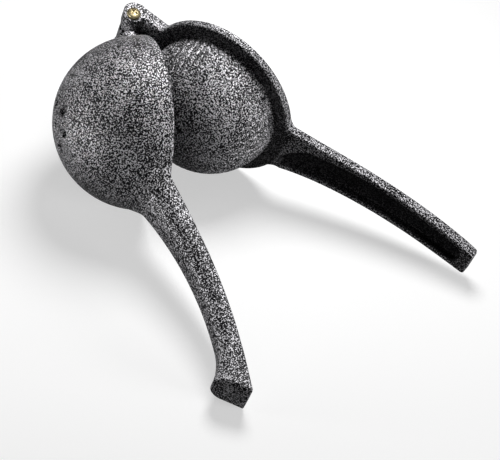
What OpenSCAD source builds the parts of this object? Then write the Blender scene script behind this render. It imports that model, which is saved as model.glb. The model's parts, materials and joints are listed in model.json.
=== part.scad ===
// Hand citrus press: two cast levers on one pivot.
// The bowl lever carries a drilled cup, the press lever a domed plunger.
// The press lies half open on its side, with its pivot near vertical.

/* [Cup and plunger] */
// Outer radius of the cup and of its straight collar
cup_r = 40; // [39:0.25:41]
// Wall of the cup
cup_wall = 3.2; // [2.4:0.1:4]
// Height of the straight collar below the rim
cup_collar = 3.7; // [2:0.1:6]
// Distance from the pivot to the middle of the cup
reach = 50.7; // [50:0.1:52]
// Distance from the pivot to the middle of the plunger
dome_reach = 52; // [50:0.1:53]
// Diameter of the drain holes
drain_d = 4; // [3:0.1:5]
// Radius of the ring of drain holes
drain_ring_r = 9.8; // [8:0.1:14]
// Number of drain holes in the ring
drain_n = 6; // [4:1:8]
// Outer radius of the plunger dome
dome_r = 33.2; // [31:0.1:34]
// Wall of the plunger dome
dome_wall = 3.2; // [2.5:0.1:4]
// Height of the straight base of the dome
dome_collar = 3.9; // [2:0.1:5]
// Outer radius of the plunger flange
flange_r = 40; // [39:0.1:41]
// Thickness of the plunger flange
flange_t = 4.6; // [3:0.1:5]
// Gap between the rim and the flange when their faces are parallel
flange_gap = 2.3; // [1.5:0.1:3]

/* [Grips] */
// Distance from the pivot to the far end of the bowl lever
bowl_lever_len = 198; // [195:0.5:205]
// Distance from the pivot to the far end of the press lever
press_lever_len = 192.5; // [185:0.5:195]
// Depth of the bowl lever's grip
bowl_grip_t = 9.65; // [8:0.05:11]
// Depth of the press lever's grip
press_grip_t = 6; // [5.5:0.1:8]
// Width of both grips at their middle
grip_w = 17.4; // [15:0.2:20]
// Wall on each side of the channels in the grips
grip_wall = 3; // [2:0.1:3.5]
// Floor of the channels in the grips
grip_floor = 2.2; // [2:0.1:3]

/* [Pivot] */
// Opening angle at which the press lies, from faces parallel
open_angle = 41; // [20:1:90]
// Width of the bowl lever's tongue
tongue_w = 14; // [12:0.5:16]
// Width over the two ears of the press lever
fork_w = 32; // [30:0.5:34]
// Free play on each side of the tongue
side_play = 0.3; // [0.2:0.05:0.5]
// Outer diameter of the pivot barrel
barrel_d = 5; // [4.6:0.1:5.4]
// Radial running clearance of the tongue on the barrel
running_fit = 0.05; // [0.03:0.01:0.1]
// Diameter of the screw head and of the barrel head
head_d = 6.4; // [6:0.1:7]
// Height of the screw head and of the barrel head
head_h = 2.2; // [1.8:0.1:3]
// Diameter of the screw's thread, drawn plain
thread_d = 3; // [2.5:0.1:3.5]

/* [Resting attitude] */
// Lean of the pivot axis towards the grips
lean = 12.84; // [12:0.01:14]
// Roll of the pivot axis towards the press lever
roll = 0; // [-10:0.1:10]
// Height of the middle of the pivot above the table
pivot_height = 50.45; // [45:0.01:55]
// Distance from the middle of the footprint back to the pivot
pivot_back = 88.59; // [80:0.01:100]
// Distance from the middle of the footprint across to the pivot
pivot_side = -8.86; // [-15:0.01:0]

/* [Hidden] */

$fn = 96;
cut = 0.5;

// Stack along the pivot, measured from its middle
ear_in = tongue_w / 2 + side_play;
ear_out = fork_w / 2;
thread_len = 20;

// Points of an arc about c with radius r, from angle a0 to angle a1
function arc(c, r, a0, a1, n = 24) =
    [for (i = [0:n]) let (a = a0 + (a1 - a0) * i / n) c + r * [cos(a), sin(a)]];

// Points of a shallow arc whose peak is at p, from x0 to x1
function bow(p, r, x0, x1, n = 30) =
    [for (i = [0:n]) let (x = x0 + (x1 - x0) * i / n) [x, p[1] - r + sqrt(r * r - pow(x - p[0], 2))]];

// Half width of a grip at x: a wide root, a slow taper and a flared end
function half_width(x, flare, x_end) =
    grip_w / 2 - 0.03 * (x - 145) + 4.5 * exp((86 - x) / 14) + flare * exp((x - x_end) / 9);

// Outline of a grip seen along the squeeze, set in from its edge by inset
module grip_plan(x0, x1, flare, inset = 0) {
    steps = 36;
    xs = [for (i = [0:steps]) x0 + (x1 - x0) * i / steps];
    upper = [for (x = xs) [x, half_width(x, flare, x1) - inset]];
    lower = [for (i = [steps:-1:0]) [xs[i], inset - half_width(xs[i], flare, x1)]];
    polygon(concat(upper, lower));
}

// A side outline, given as a child in x and y, cut to the plan of a grip
module grip_body(x0, x1, flare, inset = 0) {
    tall = 60;
    intersection() {
        translate([0, 0, -tall / 2])
            linear_extrude(tall) children();
        rotate([90, 0, 0])
            translate([0, 0, -tall / 2])
                linear_extrude(tall) grip_plan(x0, x1, flare, inset);
    }
}

// Turns a profile drawn in radius and depth into a bowl that opens towards +y
module spun_bowl(x0, y0) {
    translate([x0, y0, 0])
        rotate([90, 0, 0])
            rotate_extrude($fn = 120) children();
}

// The levers are drawn about the pivot: x along the lever, y towards the press lever,
// z along the pivot. half_angle then opens each of them and lay_down puts them on the table.
module lay_down(turn) {
    translate([-pivot_back, pivot_side, pivot_height])
        rotate([roll, lean, 0])
            rotate([0, 0, turn]) children();
}

half_angle = open_angle / 2;

// ---- bowl lever ----

bowl_grip_x = 84;
bowl_peak = [180, 14.9];
bowl_out_peak = bowl_peak - [9, bowl_grip_t];
bowl_in_bow_r = 280;
bowl_floor_bow_r = 200;
bowl_out_bow_r = 176;
hook_r = 27;
hook_x = 171.6;

// Side outline of the bowl grip, with its end hooked away from the press lever
module bowl_grip_side() {
    hook_c = [hook_x, bowl_out_peak[1] - hook_r];
    inner = bow(bowl_peak, bowl_in_bow_r, 90, bowl_lever_len);
    hook = arc(hook_c, hook_r, 50, 88, 12);
    outer = bow(bowl_out_peak, bowl_out_bow_r, hook_x - 2, 97);
    root = [[91.5, -14.8], [bowl_grip_x, -24], [bowl_grip_x, -0.6], [89.3, -0.6]];
    polygon(concat(inner, hook, outer, root));
}

// Channel in the side of the bowl grip that faces the press lever
module bowl_grip_channel() {
    floor_peak = bowl_out_peak + [3, grip_floor];
    x0 = 104;
    x1 = bowl_lever_len - 9;
    grip_body(x0, x1, 0, grip_wall)
        polygon(concat(bow(floor_peak, bowl_floor_bow_r, x0 + 6, x1 - 3), [[x1, 30], [x0, 30]]));
}

module cup_outer() {
    lip = 0.8;
    polygon(concat(
        [[0, 0]],
        arc([cup_r - lip, lip], lip, 270, 360, 6),
        arc([0, cup_collar], cup_r, 0, 90, 48)));
}

module cup_inner() {
    in_r = cup_r - cup_wall;
    polygon(concat([[0, -cut], [in_r, -cut]], arc([0, cup_collar], in_r, 0, 90, 48)));
}

module drain_hole(r, a) {
    translate([reach + r * sin(a), cut, r * cos(a)])
        rotate([90, 0, 0])
            cylinder(d = drain_d, h = cup_r + cup_collar + 2 * cut, $fn = 32);
}

tongue_r = 4.6;
tongue_t = 7;
shoulder_x = 6.6;

// Tongue that fits between the ears, and the wider shoulder that it grows from
module tongue() {
    hull() {
        cylinder(r = tongue_r, h = tongue_w, center = true);
        translate([14, -tongue_t / 2 + 0.1, 0])
            cube([2, tongue_t, tongue_w], center = true);
    }
    shoulder_len = reach - cup_r + 6 - shoulder_x;
    translate([shoulder_x, -5.6, -13])
        cube([shoulder_len, 5.6, 26]);
}

module bowl_lever() {
    color("dimgray") lay_down(-half_angle) difference() {
        union() {
            spun_bowl(reach, 0) cup_outer();
            grip_body(bowl_grip_x, bowl_lever_len, 1.2) bowl_grip_side();
            tongue();
        }
        spun_bowl(reach, 0) cup_inner();
        bowl_grip_channel();
        drain_hole(0, 0);
        for (i = [0:drain_n - 1]) drain_hole(drain_ring_r, 360 * i / drain_n);
        cylinder(d = barrel_d + 2 * running_fit, h = 3 * tongue_w, center = true);
    }
}

// ---- press lever ----

press_grip_x = 84;
press_peak = [171, 13.4];
press_in_bow_r = 270;
press_out_bow_r = 290;
ear_r = 5.2;
ear_eye_r = 4.6;
arm_y0 = 1.8;
arm_t = 6;
web_x = 5.3;
web_y = [3.4, 7.4];
bridge_x = -1;
bridge_y = [5.05, 7.3];

// Side outline of the press grip, whose front runs level with the flange and then bows
module press_grip_side() {
    back_peak = press_peak + [3, press_grip_t];
    front = bow(press_peak, press_in_bow_r, press_grip_x + 11, press_lever_len - 1.5);
    back = bow(back_peak, press_out_bow_r, press_lever_len - 0.5, press_grip_x);
    polygon(concat([[press_grip_x, flange_gap + 0.05]], front, back));
}

// Channel in the side of the press grip that faces the bowl lever
module press_grip_channel() {
    floor_peak = press_peak + [3, press_grip_t - grip_floor];
    x0 = 92;
    x1 = press_lever_len - 5;
    grip_body(x0, x1, -0.8, grip_wall)
        polygon(concat(
            bow(floor_peak, press_out_bow_r, x0 + 6, x1 - 3), [[x1, -5], [x0, -5]]));
}

module press_profile() {
    edge = 1;
    polygon(concat(
        [[dome_r - 2, flange_t - 0.5]],
        [[dome_r - 2, 0], [dome_r, 0]],
        arc([flange_r - edge, edge], edge, 270, 360, 6),
        arc([flange_r - edge, flange_t - edge], edge, 0, 90, 6)));
}

module dome_profile() {
    in_r = dome_r - dome_wall;
    polygon(concat(
        [[in_r, -flange_t], [dome_r, -flange_t]],
        arc([0, dome_collar], dome_r, 0, 90, 48),
        arc([0, dome_collar], in_r, 90, 0, 48)));
}

// One arm of the fork, with its ear about the pivot
module fork_arm() {
    arm_end = dome_reach - sqrt(pow(flange_r, 2) - pow(ear_out, 2)) + 3;
    translate([0, 0, ear_in])
        linear_extrude(ear_out - ear_in)
            union() {
                hull() {
                    circle(r = ear_eye_r);
                    translate([-1, 2.5]) circle(r = ear_r);
                }
                translate([-1, arm_y0]) square([arm_end + 1, arm_t]);
            }
}

// Web that joins the two arms between the pivot and the flange, and the thinner bridge
// that carries it on behind the tongue
module fork_web() {
    translate([web_x, web_y[0], -ear_in - cut])
        cube([dome_reach - flange_r + 4 - web_x, web_y[1] - web_y[0], 2 * (ear_in + cut)]);
    translate([bridge_x, bridge_y[0], -ear_in - cut + 0.1])
        cube([web_x - bridge_x + 1, bridge_y[1] - bridge_y[0], 2 * (ear_in + cut - 0.1)]);
}

module press_lever() {
    color("dimgray") lay_down(half_angle) difference() {
        union() {
            fork_web();
            spun_bowl(dome_reach, flange_gap + flange_t) press_profile();
            spun_bowl(dome_reach, flange_gap) dome_profile();
            grip_body(press_grip_x, press_lever_len, -0.8) press_grip_side();
            for (side = [0, 1]) mirror([0, 0, side]) fork_arm();
        }
        press_grip_channel();
        cylinder(d = barrel_d, h = 2 * fork_w, center = true);
    }
}

// ---- pivot ----

// Low domed head of radius head_d / 2 that sits on z = 0
module pan_head() {
    rise = head_h * 0.45;
    r = head_d / 2;
    dome = (r * r + rise * rise) / (2 * rise);
    rotate_extrude($fn = 48)
        polygon(concat(
            [[0, 0], [r, 0]],
            arc([0, head_h - dome], dome, asin((dome - rise) / dome), 90, 12)));
}

// Cross slot in the top of the screw head
module cross_recess() {
    slot_len = 3.4;
    slot_w = 0.8;
    sink = 1.2;
    for (a = [0, 90])
        rotate([0, 0, a])
            translate([0, 0, head_h]) cube([slot_len, slot_w, 2 * sink], center = true);
}

module pivot_screw() {
    color("goldenrod") lay_down(half_angle) {
        difference() {
            translate([0, 0, ear_out]) pan_head();
            translate([0, 0, ear_out]) cross_recess();
        }
        translate([0, 0, ear_out - thread_len])
            cylinder(d = thread_d, h = thread_len + 0.4, $fn = 48);
    }
}

module pivot_barrel_nut() {
    color("goldenrod") lay_down(half_angle) difference() {
        union() {
            translate([0, 0, -ear_out]) rotate([180, 0, 0]) pan_head();
            translate([0, 0, -ear_out - 0.4])
                cylinder(d = barrel_d, h = fork_w + 0.4, $fn = 64);
        }
        translate([0, 0, ear_out - thread_len])
            cylinder(d = thread_d, h = thread_len + cut, $fn = 48);
    }
}

bowl_lever();
press_lever();
pivot_screw();
pivot_barrel_nut();
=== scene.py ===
import json
import math

import bpy
import numpy as np
from mathutils import Matrix, Vector


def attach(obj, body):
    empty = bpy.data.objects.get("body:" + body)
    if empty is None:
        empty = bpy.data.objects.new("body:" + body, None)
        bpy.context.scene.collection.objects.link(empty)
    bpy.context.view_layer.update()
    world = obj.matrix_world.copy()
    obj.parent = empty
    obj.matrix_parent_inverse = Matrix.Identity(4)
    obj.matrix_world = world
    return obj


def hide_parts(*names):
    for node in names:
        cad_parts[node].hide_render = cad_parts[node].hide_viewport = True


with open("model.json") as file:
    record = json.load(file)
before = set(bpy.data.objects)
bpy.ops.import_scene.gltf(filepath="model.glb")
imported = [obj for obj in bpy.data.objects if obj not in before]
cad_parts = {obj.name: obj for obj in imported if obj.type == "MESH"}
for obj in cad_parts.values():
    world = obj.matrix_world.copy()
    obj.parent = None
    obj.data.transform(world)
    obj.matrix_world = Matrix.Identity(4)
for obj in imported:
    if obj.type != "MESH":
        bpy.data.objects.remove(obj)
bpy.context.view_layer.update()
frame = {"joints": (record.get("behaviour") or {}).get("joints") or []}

# Lengths of the press are in millimetres and become metres when a mesh is made.
# Each lever is modelled about the pivot: x along the lever, y towards the press
# lever and z along the pivot. lay_down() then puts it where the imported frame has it.

MM = 0.001
HALF_OPEN = math.radians(20.5)

# Cup and plunger
REACH = 50.7
DOME_REACH = 52.0
CUP_R = 40.0
CUP_WALL = 3.2
CUP_COLLAR = 3.7
DRAIN_R = 2.0
DRAIN_RING = 9.8
DRAIN_COUNT = 6
DOME_R = 33.2
DOME_WALL = 3.2
DOME_COLLAR = 3.9
FLUTE_COUNT = 56
FLUTE_DEPTH = 0.6
FLANGE_R = 40.0
FLANGE_GAP = 2.3
FLANGE_BACK = 6.9

# Grips
BOWL_LEN = 198.0
PRESS_LEN = 192.5
GRIP_W = 17.4
GRIP_W_X = 145.0
GRIP_TAPER = 0.03
GRIP_WALL = 3.0
GRIP_FLOOR = 2.2
GRIP_X = 84.0
ROOT_FLARE = 4.5
ROOT_X = 86.0
ROOT_RUN = 14.0
END_RUN = 9.0

# Pivot
TONGUE_W = 14.0
EAR_IN = 7.3
EAR_OUT = 16.0
BARREL_R = 2.5
HEAD_R = 3.2
HEAD_H = 2.2
THREAD_R = 1.5
THREAD_LEN = 20.0


# ---- solids as distance functions: negative inside ----

def fillet(a, b, r):
    """Both solids together, with a hollow fillet of radius r between them."""
    return np.maximum(r, np.minimum(a, b)) - np.hypot(np.maximum(r - a, 0), np.maximum(r - b, 0))


def meet(a, b, r):
    """The space that two solids share, with its edge rounded to radius r."""
    return np.minimum(-r, np.maximum(a, b)) + np.hypot(np.maximum(r + a, 0), np.maximum(r + b, 0))


def carve(a, b, r):
    """Solid a without solid b, with the new edge rounded to radius r."""
    return meet(a, -b, r)


def ramp(v, low, high):
    """Smooth step from 0 at low to 1 at high."""
    t = np.clip((v - low) / (high - low), 0, 1)
    return t * t * (3 - 2 * t)


def disc(x, y, cx, cy, r):
    return np.hypot(x - cx, y - cy) - r


def bow(x, y, peak, r):
    """Below a shallow arch of radius r whose top is at peak."""
    return disc(x, y, peak[0], peak[1] - r, r)


def crown(z, r):
    """Fall of a side that bulges across the lever with radius r."""
    return z * z / (2 * r)


def block(x, y, z, low, high, r):
    """Box with its edges rounded to radius r."""
    sides = meet(np.abs(x - (low[0] + high[0]) / 2) - (high[0] - low[0]) / 2,
                 np.abs(y - (low[1] + high[1]) / 2) - (high[1] - low[1]) / 2, r)
    return meet(sides, np.abs(z - (low[2] + high[2]) / 2) - (high[2] - low[2]) / 2, r)


def strut(x, y, a, b, ra, rb):
    """Tapered link seen from its side, round about a and about b."""
    dx, dy = b[0] - a[0], b[1] - a[1]
    t = np.clip(((x - a[0]) * dx + (y - a[1]) * dy) / (dx * dx + dy * dy), 0, 1)
    return np.hypot(x - a[0] - t * dx, y - a[1] - t * dy) - (ra + (rb - ra) * t)


def half_width(x, flare, x_end):
    """Half width of a grip: a wide root, a slow taper and an end flared by flare."""
    x = np.maximum(x, GRIP_X)
    taper = GRIP_W / 2 - GRIP_TAPER * (x - GRIP_W_X)
    root = ROOT_FLARE * np.exp((ROOT_X - x) / ROOT_RUN)
    return taper + root + flare * np.exp((x - x_end) / END_RUN)


# ---- bowl lever ----

# Grip: bows along its inner side, its channel's floor and its outer side
BOWL_PEAK = (180.0, 14.9)
BOWL_IN_R = 280.0
BOWL_FLOOR_R = 200.0
BOWL_OUT_PEAK = (171.0, 5.25)
BOWL_FLOOR_PEAK = (BOWL_OUT_PEAK[0] + 3, BOWL_OUT_PEAK[1] + GRIP_FLOOR)
BOWL_OUT_R = 176.0
BOWL_CROWN_R = 23.0
BOWL_INNER_CROWN_R = 200.0
BOWL_FLARE = 1.2

# Grip end: the outer side turns round a tighter arc and stops at a flat face
HOOK_X = 171.6
HOOK_R = 27.0
HOOK_END = math.radians(50)

# Channel: from a little past the cup to the wall left at the grip's end
BOWL_CHANNEL_X = 107.0
BOWL_CHANNEL_END = BOWL_LEN - 10.5

# Cup: the rim is cut flat as far as RIM_X, and the drains only pierce its bottom
RIM_X = 89.0
DRAIN_DEPTH = 20.0

# Shoulder between cup and pivot, and the tongue that goes between the ears
SHOULDER_LOW = (6.6, -5.6, -13.0)
SHOULDER_HIGH = (20.0, 4.0, 13.0)
TONGUE_ROOT = (13.0, -3.4)
TONGUE_END_R = 4.6
TONGUE_ROOT_R = 3.4
BORE_GAP = 0.05


def bowl_end_face(x, y):
    """Beyond the slanted flat face that ends the bowl grip."""
    tip = (HOOK_X + HOOK_R * math.cos(HOOK_END),
           BOWL_OUT_PEAK[1] - HOOK_R + HOOK_R * math.sin(HOOK_END))
    drop = math.sqrt(BOWL_IN_R ** 2 - (BOWL_LEN - BOWL_PEAK[0]) ** 2)
    top = BOWL_PEAK[1] - BOWL_IN_R + drop
    dx, dy = BOWL_LEN - tip[0], top - tip[1]
    return ((x - tip[0]) * dy - (y - tip[1]) * dx) / math.hypot(dx, dy)


def bowl_grip(x, y, z):
    inner = bow(x, y, BOWL_PEAK, BOWL_IN_R)
    arch = bow(x, y, BOWL_OUT_PEAK, BOWL_OUT_R)
    hook = disc(x, y, HOOK_X, BOWL_OUT_PEAK[1] - HOOK_R, HOOK_R)
    outer = -np.minimum(np.maximum(arch, x - HOOK_X), hook)
    sides = np.abs(z) - half_width(x, BOWL_FLARE, BOWL_LEN)
    bar = meet(sides, outer + crown(z, BOWL_CROWN_R), 5.0)
    bar = meet(bar, inner + crown(z, BOWL_INNER_CROWN_R), 1.0)
    bar = meet(bar, bowl_end_face(x, y), 1.3)
    return np.maximum(bar, GRIP_X - x)


def bowl_channel(x, y, z):
    floor = bow(x, y, BOWL_FLOOR_PEAK, BOWL_FLOOR_R)
    sides = np.abs(z) - half_width(x, 0, BOWL_LEN) + GRIP_WALL
    ends = np.maximum(BOWL_CHANNEL_X - x, x - BOWL_CHANNEL_END)
    return meet(meet(sides, ends, 2.5), -floor, 1.6)


def cup_ball(x, y, z, r):
    """Round bowl of radius r below a straight collar, which runs on towards +y."""
    return np.hypot(np.hypot(x - REACH, z), np.maximum(-y - CUP_COLLAR, 0)) - r


def drains(x, y, z):
    """One hole in the middle of the bottom and a ring of holes round it."""
    holes = np.hypot(x - REACH, z) - DRAIN_R
    for i in range(DRAIN_COUNT):
        a = 2 * math.pi * i / DRAIN_COUNT
        hole = disc(x, z, REACH + DRAIN_RING * math.sin(a), DRAIN_RING * math.cos(a), DRAIN_R)
        holes = np.minimum(holes, hole)
    return np.maximum(holes, y + DRAIN_DEPTH)


def bowl_lever(x, y, z):
    root_r = 2.5 + 7.5 * ramp(-y, 2, 14)    # wider where the grip meets the cup's side
    body = fillet(cup_ball(x, y, z, CUP_R), bowl_grip(x, y, z), root_r)
    body = fillet(body, block(x, y, z, SHOULDER_LOW, SHOULDER_HIGH, 1.6), 2.2)
    grip_side = np.maximum(bow(x, y, BOWL_PEAK, BOWL_IN_R), RIM_X - x)
    body = meet(body, np.minimum(y, grip_side), 0.9)
    link = strut(x, y, (0, 0), TONGUE_ROOT, TONGUE_END_R, TONGUE_ROOT_R)
    tongue = meet(link, np.abs(z) - TONGUE_W / 2, 0.7)
    body = fillet(body, tongue, 1.2)
    body = carve(body, cup_ball(x, y, z, CUP_R - CUP_WALL), 0.9)
    body = carve(body, bowl_channel(x, y, z), 1.0)
    body = carve(body, drains(x, y, z), 0.7)
    return carve(body, np.hypot(x, y) - BARREL_R - BORE_GAP, 0.4)


# ---- press lever ----

# Grip: bows along its front and its back
PRESS_PEAK = (171.0, 13.4)
PRESS_IN_R = 270.0
PRESS_BACK_PEAK = (174.0, 19.4)
PRESS_FLOOR_PEAK = (PRESS_BACK_PEAK[0], PRESS_BACK_PEAK[1] - GRIP_FLOOR)
PRESS_OUT_R = 290.0
PRESS_CROWN_R = 150.0
PRESS_FLARE = -0.8
PRESS_EXTRA = 0.5

# Channel in the back: its wall is thicker and its middle set aside near the dome
PRESS_CHANNEL_X = 92.5
PRESS_CHANNEL_END = PRESS_LEN - 6.5
ROOT_WALL = 2.2
ROOT_SHIFT = 1.8
SLANT_Z = -8.0
SLANT = 0.06

# Fork: an ear and an arm on each side, a web between the arms, and a thin
# bridge from the web over the tongue
EAR_R = 4.6
EAR_TOP = (-1.0, 2.5)
EAR_TOP_R = 5.2
ARM_X, ARM_HALF_X = 9.0, 10.0
ARM_Y, ARM_HALF_Y = 4.8, 3.0
WEB_LOW, WEB_HIGH = (5.4, 3.5, -9.0), (18.0, 7.6, 9.0)
BRIDGE_LOW, BRIDGE_HIGH = (-1.0, 5.1, -9.0), (8.0, 7.4, 9.0)


def press_half_width(x):
    return half_width(x, PRESS_FLARE, PRESS_LEN) + PRESS_EXTRA


def press_grip(x, y, z):
    front = np.maximum(-bow(x, y, PRESS_PEAK, PRESS_IN_R), FLANGE_GAP - y)
    back = bow(x, y, PRESS_BACK_PEAK, PRESS_OUT_R)
    sides = np.abs(z) - press_half_width(x)
    bar = meet(sides, back + crown(z, PRESS_CROWN_R), 1.8)
    bar = meet(bar, x - PRESS_LEN, 1.6)
    bar = meet(bar, front, 0.7)
    return np.maximum(bar, GRIP_X - x)


def press_channel(x, y, z):
    floor = bow(x, y, PRESS_FLOOR_PEAK, PRESS_OUT_R)
    wall = GRIP_WALL + ROOT_WALL * (1 - ramp(x, 92, 135))
    middle = ROOT_SHIFT * (ramp(x, 95, 130) - 1)
    sides = np.abs(z - middle) - press_half_width(x) + wall
    start = PRESS_CHANNEL_X + SLANT * np.maximum(z - SLANT_Z, 0) ** 2 - x
    ends = np.maximum(start, x - PRESS_CHANNEL_END)
    return meet(meet(sides, ends, 2.0), floor, 1.2)


def dome_ball(x, y, z, r):
    """Round dome of radius r with a straight base, whose top is towards -y."""
    rise = np.maximum(FLANGE_GAP - DOME_COLLAR - y, 0)
    return np.hypot(np.hypot(x - DOME_REACH, z), rise) - r


def flutes(x, y, z):
    """Depth of the grooves that run up the dome from its base and fade out near its top."""
    across = np.hypot(x - DOME_REACH, z)
    rise = np.maximum(FLANGE_GAP - DOME_COLLAR - y, 0)
    climb = np.degrees(np.arctan2(rise, across))
    around = np.arctan2(z, x - DOME_REACH)
    wave = 0.5 - 0.5 * np.cos(FLUTE_COUNT * around)
    return FLUTE_DEPTH * wave * (1 - ramp(climb, 30, 68)) * ramp(across, 10, 20)


def press_fork(x, y, z):
    """Two ears and their arms, mirrored about the lever's middle, and what joins them."""
    ear = strut(x, y, (0, 0), EAR_TOP, EAR_R, EAR_TOP_R)
    arm = meet(np.abs(y - ARM_Y) - ARM_HALF_Y, np.abs(x - ARM_X) - ARM_HALF_X, 0.8)
    width = np.abs(np.abs(z) - (EAR_IN + EAR_OUT) / 2) - (EAR_OUT - EAR_IN) / 2
    sides = meet(fillet(ear, arm, 1.0), width, 0.8)
    web = block(x, y, z, WEB_LOW, WEB_HIGH, 0.9)
    bridge = block(x, y, z, BRIDGE_LOW, BRIDGE_HIGH, 0.5)
    return fillet(sides, fillet(web, bridge, 0.6), 0.5)


def press_lever(x, y, z):
    across = np.hypot(x - DOME_REACH, z)
    depth = np.abs(y - (FLANGE_GAP + FLANGE_BACK) / 2) - (FLANGE_BACK - FLANGE_GAP) / 2
    flange = meet(across - FLANGE_R, depth, 1.1)
    plate = fillet(flange, press_grip(x, y, z), 2.6)
    plate = fillet(plate, press_fork(x, y, z), 1.6)
    plate = carve(plate, press_channel(x, y, z), 0.9)
    dome = meet(dome_ball(x, y, z, DOME_R) + flutes(x, y, z), y - FLANGE_BACK + 1, 0.5)
    body = fillet(plate, dome, 0.9)
    body = carve(body, dome_ball(x, y, z, DOME_R - DOME_WALL), 1.0)
    return carve(body, np.hypot(x, y) - BARREL_R, 0.4)


# ---- painted shade in the hollows: 1 where shade is painted into the coat, 0 where it is open ----

def bowl_painted_shade(x, y, z):
    """Painted shade in the channel alone."""
    return 1 - ramp(bowl_channel(x, y, z), 0.2, 1.0)


def press_painted_shade(x, y, z):
    """Painted shade in the channel, and less strongly at the dome's foot and the web's underside.
    """
    channel = 1 - ramp(press_channel(x, y, z), 0.2, 1.0)
    across = np.hypot(x - DOME_REACH, z)
    foot = np.hypot(across - DOME_R - 3.5, y - FLANGE_GAP + 0.5)
    under = 1 - ramp(np.hypot(x - 10, z), 8, 14)
    return np.maximum(channel, 0.6 * np.maximum(1 - ramp(foot, 2.5, 5.5), under * (y < 6)))


# No painted shade on the pivot parts.
def no_painted_shade(x, y, z):
    return np.zeros_like(x)


# ---- pivot ----

RECESS_DEPTH = 1.2
RECESS_HALF_L = 1.7
RECESS_HALF_W = 0.42


def pan_head(x, y, up):
    """Low domed head that stands on up = 0."""
    rise = HEAD_H * 0.45
    ball = (HEAD_R ** 2 + rise ** 2) / (2 * rise)
    out = np.hypot(x, y)
    cap = meet(np.hypot(out, up - HEAD_H + ball) - ball, out - HEAD_R, 0.35)
    return np.maximum(cap, -up)


def cross_recess(x, y, up):
    """Crossed slots in a pan head, deepest in the middle."""
    sink = HEAD_H - RECESS_DEPTH - up + 0.35 * np.hypot(x, y)
    slot_a = np.maximum(np.abs(x) - RECESS_HALF_L, np.abs(y) - RECESS_HALF_W)
    slot_b = np.maximum(np.abs(y) - RECESS_HALF_L, np.abs(x) - RECESS_HALF_W)
    return meet(fillet(slot_a, slot_b, 0.25), sink, 0.1)


def pivot_screw(x, y, z):
    """Screw whose head lies on the outer face of one ear."""
    up = z - EAR_OUT
    head = carve(pan_head(x, y, up), cross_recess(x, y, up), 0.12)
    ends = np.maximum(z - EAR_OUT - 0.3, EAR_OUT - THREAD_LEN - z)
    return np.minimum(head, np.maximum(np.hypot(x, y) - THREAD_R, ends))


def pivot_barrel_nut(x, y, z):
    """Nut whose head lies on the other ear and whose barrel is the levers' pin."""
    out = np.hypot(x, y)
    barrel = np.maximum(out - BARREL_R, np.abs(z) - EAR_OUT)
    body = np.minimum(pan_head(x, y, -EAR_OUT - z), barrel)
    return carve(body, np.maximum(out - THREAD_R, EAR_OUT - THREAD_LEN - z), 0.1)


# ---- meshes from the solids ----

def mean_crossing(values, cells):
    """Mean of the points where the surface cuts each cell's edges, in cell units."""
    corners = [(i, j, k) for i in (0, 1) for j in (0, 1) for k in (0, 1)]
    total = np.zeros((len(cells), 3))
    count = np.zeros(len(cells))
    for a in corners:
        for axis in range(3):
            if a[axis]:
                continue
            b = tuple(1 if i == axis else v for i, v in enumerate(a))
            va = values[tuple((cells + a).T)]
            vb = values[tuple((cells + b).T)]
            hit = (va < 0) != (vb < 0)
            t = np.where(hit, va / np.where(hit, va - vb, 1), 0)
            total += hit[:, None] * (np.array(a) + t[:, None] * np.eye(3)[axis])
            count += hit
    return total / count[:, None]


def cell_quads(inside, number):
    """One quad round each grid edge that the surface crosses, facing outwards."""
    quads = []
    for axis in range(3):
        unit = np.eye(3, dtype=int)
        u, v = unit[(axis + 1) % 3], unit[(axis + 2) % 3]
        here = np.swapaxes(inside, 0, axis)
        crossed = np.swapaxes(here[:-1] != here[1:], 0, axis)
        nodes = np.argwhere(crossed)
        whole = (nodes - u - v >= 0) & (nodes < np.array(number.shape))
        nodes = nodes[np.all(whole, axis=1)]
        loop = [number[tuple((nodes - o).T)] for o in (u + v, v, 0 * u, u)]
        quad = np.stack(loop, axis=1)
        out = inside[tuple(nodes.T)]
        quads.append(quad[out])
        quads.append(quad[~out][:, ::-1])
    return np.concatenate(quads)


def slope(solid, points, h=0.01):
    """Gradient of a solid's distance at points."""
    parts = []
    for axis in np.eye(3) * h:
        parts.append((solid(*(points + axis).T) - solid(*(points - axis).T)) / (2 * h))
    return np.stack(parts, axis=1)


def settle(solid, points, reach):
    """Moves points onto the surface, at most reach in each of a few steps."""
    for _ in range(4):
        away = slope(solid, points)
        steep = np.maximum((away ** 2).sum(axis=1), 0.05)
        move = away * (solid(*points.T) / steep)[:, None]
        length = np.maximum(np.linalg.norm(move, axis=1), 1e-9)
        points = points - move * np.minimum(1, reach / length)[:, None]
    return points


def surface(solid, low, high, step):
    """Points and outward quads on the surface of a solid between two corners."""
    axes = [np.arange(a - 2 * step, b + 3 * step, step) for a, b in zip(low, high)]
    x, y, z = np.meshgrid(*axes, indexing="ij", sparse=True)
    values = solid(x, y, z)
    inside = values < 0
    size = np.array(inside.shape) - 1
    total = np.zeros(size, dtype=np.int8)
    for i in (0, 1):
        for j in (0, 1):
            for k in (0, 1):
                total += inside[i:i + size[0], j:j + size[1], k:k + size[2]]
    cells = np.argwhere((total > 0) & (total < 8))
    number = np.full(size, -1)
    number[tuple(cells.T)] = np.arange(len(cells))
    start = np.array([a[0] for a in axes])
    points = start + (cells + mean_crossing(values, cells)) * step
    return settle(solid, points, 0.6 * step), cell_quads(inside, number)


def lay_down(turn):
    """Matrix from a lever's own axes, in millimetres, to the frame, in metres."""
    joint = frame["joints"][0]
    pin = Vector(joint["axis"]).normalized()
    across = Vector((0, 1, 0))
    along = across.cross(pin).normalized()
    basis = Matrix((along, across, pin)).transposed().to_4x4()
    place = Matrix.Translation(Vector(joint["pos_m"]))
    return place @ basis @ Matrix.Rotation(turn, 4, "Z") @ Matrix.Scale(MM, 4)


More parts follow.
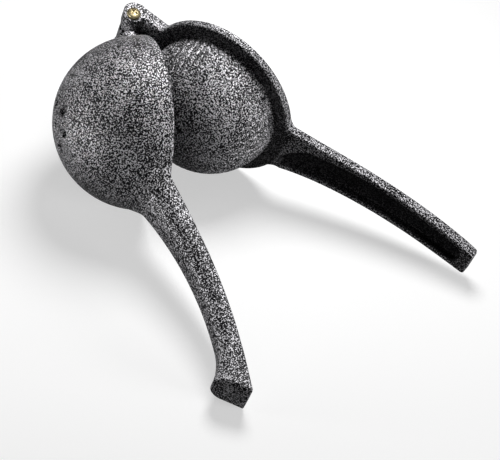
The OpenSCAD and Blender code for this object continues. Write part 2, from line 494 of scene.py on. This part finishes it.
def add_to_scene(name, data):
    """New object in the scene that shows data."""
    thing = bpy.data.objects.new(name, data)
    bpy.context.scene.collection.objects.link(thing)
    return thing


def make_piece(name, solid, painted_shade, low, high, step, turn):
    """Mesh of a solid, laid down in the frame, with normals from its true slopes."""
    points, quads = surface(solid, low, high, step)
    away = slope(solid, points)
    away /= np.maximum(np.linalg.norm(away, axis=1), 1e-9)[:, None]
    place = np.array(lay_down(turn))
    world = points @ place[:3, :3].T + place[:3, 3]
    mesh = bpy.data.meshes.new(name)
    mesh.from_pydata(world.tolist(), [], quads.tolist())
    mesh.update()
    mesh.shade_smooth()
    normals = away @ place[:3, :3].T / MM
    mesh.normals_split_custom_set_from_vertices(normals.tolist())
    # Painted shade: how strongly each point is darkened, as if shade fell in the hollows.
    painted_hollow_shade = mesh.attributes.new("painted_hollow_shade", "FLOAT", "POINT")
    painted_hollow_shade.data.foreach_set("value", painted_shade(*points.T).astype(np.float32))
    return add_to_scene(name, mesh)


# ---- materials ----

BLACK_PAINT = (0.002, 0.002, 0.003, 1)
SILVER_VEIN = (0.74, 0.73, 0.76, 1)
VEIN_EDGE = (0.54, 0.58)
# Share of silver veins left where shade is painted into the hollows.
VEIN_IN_PAINTED_SHADE = 0.12
ZINC_DULL = (0.42, 0.34, 0.18, 1)
ZINC_BRIGHT = (0.72, 0.62, 0.38, 1)
FLOOR_DARK = (0.50, 0.50, 0.50, 1)
FLOOR_PALE = (0.54, 0.54, 0.54, 1)
WHITE = (1, 1, 1, 1)


class Nodes:
    """A material, with a short way to add and link shader nodes."""

    def __init__(self, name):
        self.material = bpy.data.materials.new(name)
        self.material.use_nodes = True
        self.tree = self.material.node_tree
        self.shader = self.tree.nodes["Principled BSDF"]

    def add(self, kind, inputs=(), **settings):
        node = self.tree.nodes.new(kind)
        for key, value in settings.items():
            setattr(node, key, value)
        for key, value in dict(inputs).items():
            if isinstance(value, bpy.types.NodeSocket):
                self.tree.links.new(value, node.inputs[key])
            else:
                node.inputs[key].default_value = value
        return node

    def noise(self, place, scale, detail, **inputs):
        """Noise texture at place, in scale cells to a metre."""
        return self.add("ShaderNodeTexNoise", {
            "Vector": place, "Scale": scale, "Detail": detail, **inputs})

    def combine(self, operation, a, b):
        return self.add("ShaderNodeMath", {0: a, 1: b}, operation=operation).outputs[0]

    def vector(self, operation, inputs):
        return self.add("ShaderNodeVectorMath", inputs, operation=operation).outputs[0]

    def spread(self, value, low, high, to_low=0.0, to_high=1.0):
        """Smooth step of value from low to high, as a step from to_low to to_high."""
        node = self.add("ShaderNodeMapRange", {
            "Value": value, "From Min": low, "From Max": high,
            "To Min": to_low, "To Max": to_high})
        node.interpolation_type = "SMOOTHSTEP"
        return node.outputs["Result"]

    def mix(self, share, a, b):
        """Colour a where share is 0 and colour b where it is 1."""
        node = self.add("ShaderNodeMix", data_type="RGBA")
        self.tree.links.new(share, node.inputs[0])
        node.inputs[6].default_value = a
        node.inputs[7].default_value = b
        return node.outputs[2]

    def wire(self, **sockets):
        """Links values to the surface shader's inputs."""
        for name, value in sockets.items():
            self.tree.links.new(value, self.shader.inputs[name.replace("_", " ")])

    def set(self, **sockets):
        """Sets the surface shader's inputs to constants."""
        for name, value in sockets.items():
            self.shader.inputs[name.replace("_", " ")].default_value = value

    def bump(self, height, strength, distance):
        return self.add("ShaderNodeBump", {
            "Height": height, "Strength": strength, "Distance": distance}).outputs["Normal"]


def hammertone():
    """Black stoved paint under a net of silver veins, as a hammered powder coat."""
    n = Nodes("hammertone")
    place = n.add("ShaderNodeTexCoord").outputs["Object"]

    # The veins wander, because the noise is read a little aside of each place.
    drift = n.noise(place, 1500.0, 2.0).outputs["Color"]
    shift = n.vector("SUBTRACT", {0: drift, 1: (0.5, 0.5, 0.5)})
    push = n.vector("SCALE", {0: shift, "Scale": 0.0005})
    bent = n.vector("ADD", {0: place, 1: push})

    worms = n.noise(bent, 1600.0, 1.0, Roughness=0.45).outputs["Fac"]
    fine = n.noise(bent, 4200.0, 1.0).outputs["Fac"]
    patch = n.noise(place, 60.0, 2.0).outputs["Fac"]
    grit = n.combine("MULTIPLY", n.combine("SUBTRACT", fine, 0.5), 0.22)
    height = n.combine("ADD", worms, grit)
    uneven = n.spread(patch, 0.35, 0.65, -0.02, 0.02)
    vein = n.spread(n.combine("ADD", height, uneven), *VEIN_EDGE)

    # Painted shade: the hollows lose most of their silver veins, so they look darker, as if shade
    # fell in them.
    shade_share = n.add("ShaderNodeAttribute", attribute_name="painted_hollow_shade").outputs["Fac"]
    vein = n.combine("MULTIPLY", vein, n.spread(shade_share, 0.0, 1.0, 1.0, VEIN_IN_PAINTED_SHADE))

    n.wire(Base_Color=n.mix(vein, BLACK_PAINT, SILVER_VEIN),
           Metallic=n.combine("MULTIPLY", vein, 0.35),
           Roughness=n.spread(vein, 0.0, 1.0, 0.40, 0.45),
           Normal=n.bump(height, 0.9, 0.0003))
    n.set(Specular_IOR_Level=0.22)
    return n.material


def yellow_zinc():
    """Yellow passivated steel with a fine grain and dull patches."""
    n = Nodes("passivated_steel")
    place = n.add("ShaderNodeTexCoord").outputs["Object"]
    haze = n.noise(place, 900.0, 3.0).outputs["Fac"]
    grain = n.noise(place, 4000.0, 2.0).outputs["Fac"]
    n.wire(Base_Color=n.mix(n.spread(haze, 0.35, 0.7), ZINC_DULL, ZINC_BRIGHT),
           Roughness=n.spread(grain, 0.3, 0.7, 0.28, 0.45),
           Normal=n.bump(grain, 0.25, 0.0001))
    n.set(Metallic=1.0)
    return n.material


def floor_paint():
    """Pale grey with a faint haze, which glows a little so that it stays pale."""
    n = Nodes("studio_floor")
    place = n.add("ShaderNodeTexCoord").outputs["Object"]
    haze = n.noise(place, 3.0, 2.0).outputs["Fac"]
    n.wire(Base_Color=n.mix(haze, FLOOR_DARK, FLOOR_PALE))
    n.set(Roughness=0.9, Emission_Color=WHITE, Emission_Strength=0.5)
    return n.material


# ---- stage ----

# The camera's angles, in degrees, lens, in millimetres, and distance are fitted
# to the photograph. AIM is the point at the middle of the view.
AZIMUTH = 46.18
ELEVATION = 43.56
ROLL = 10.96
AIM = (0.0200, -0.0096, 0.0170)
DISTANCE = 0.8943
LENS = 141.83

# name, place, point it shines at, width, power
LIGHTS = [
    ("key", (-0.10, 0.10, 0.36), (-0.03, 0, 0.03), 0.2, 1.45),
    ("low_right", (0.6, 0.32, 0.12), (-0.03, 0, 0.03), 0.3, 2.9),
    ("low_left", (-0.38, -0.24, 0.03), (-0.05, -0.03, 0.02), 0.2, 0.15),
    ("front", (-0.11, -0.32, 0.02), (-0.06, -0.06, 0.02), 0.12, 0.6),
]
SKY_STRENGTH = 0.06
FLOOR_HALF = 3.0


def add_camera():
    """Camera at the photograph's angle, rolled as it is."""
    azimuth, elevation = math.radians(AZIMUTH), math.radians(ELEVATION)
    turn = (Matrix.Rotation(azimuth, 3, "Z")
            @ Matrix.Rotation(math.pi / 2 - elevation, 3, "X")
            @ Matrix.Rotation(math.radians(ROLL), 3, "Z"))
    data = bpy.data.cameras.new("camera")
    data.lens = LENS
    data.sensor_width = 36
    data.clip_start = 0.01
    camera = add_to_scene("camera", data)
    camera.matrix_world = Matrix.Translation(Vector(AIM) + turn.col[2] * DISTANCE) @ turn.to_4x4()
    bpy.context.scene.camera = camera


def add_light(name, place, aim, size, power):
    """Round lamp at place that faces aim."""
    data = bpy.data.lights.new(name, "AREA")
    data.shape = "DISK"
    data.size = size
    data.energy = power
    light = add_to_scene(name, data)
    light.location = place
    light.rotation_euler = (Vector(aim) - Vector(place)).to_track_quat("-Z", "Y").to_euler()


def add_floor():
    """Wide floor that doesn't show in the gloss or light the press from below."""
    half = FLOOR_HALF
    corners = [(-half, -half, 0), (half, -half, 0), (half, half, 0), (-half, half, 0)]
    mesh = bpy.data.meshes.new("floor")
    mesh.from_pydata(corners, [], [(0, 1, 2, 3)])
    mesh.materials.append(floor_paint())
    floor = add_to_scene("floor", mesh)
    floor.visible_glossy = False
    floor.visible_diffuse = False


def add_world():
    """Dim even white light from all round, and colours shown as they are."""
    world = bpy.data.worlds.new("studio")
    world.use_nodes = True
    sky = world.node_tree.nodes["Background"]
    sky.inputs["Color"].default_value = WHITE
    sky.inputs["Strength"].default_value = SKY_STRENGTH
    bpy.context.scene.world = world
    bpy.context.scene.view_settings.view_transform = "Standard"


# ---- the scene ----

add_camera()
add_world()
add_floor()
for light_row in LIGHTS:
    add_light(*light_row)

casting = hammertone()
zinc = yellow_zinc()

# name, solid, painted shade in the hollows, corners that it lies between, mesh step, turn,
# body, CAD node that it replaces, slot, material
PIECES = [
    ("bowl_lever_casting", bowl_lever, bowl_painted_shade,
     (-6, -45, -41), (200, 16, 41), 0.7, -HALF_OPEN,
     "bowl_side", "bowl_lever", "hammertone_casting", casting),
    ("press_lever_casting", press_lever, press_painted_shade,
     (-8, -36, -42), (194, 22, 42), 0.62, HALF_OPEN,
     "press_side", "press_lever", "hammertone_casting", casting),
    ("pivot_screw_turned", pivot_screw, no_painted_shade,
     (-4, -4, -5), (4, 4, 19), 0.14, HALF_OPEN,
     "press_side", "pivot_screw", "yellow_zinc", zinc),
    ("pivot_nut_turned", pivot_barrel_nut, no_painted_shade,
     (-4, -4, -19), (4, 4, 17), 0.25, HALF_OPEN,
     "press_side", "pivot_barrel_nut", "yellow_zinc", zinc),
]

for name, solid, painted_shade, low, high, step, turn, body, node, slot, material in PIECES:
    piece = make_piece(name, solid, painted_shade, low, high, step, turn)
    piece.data.materials.append(material)
    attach(piece, body)
    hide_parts(node)
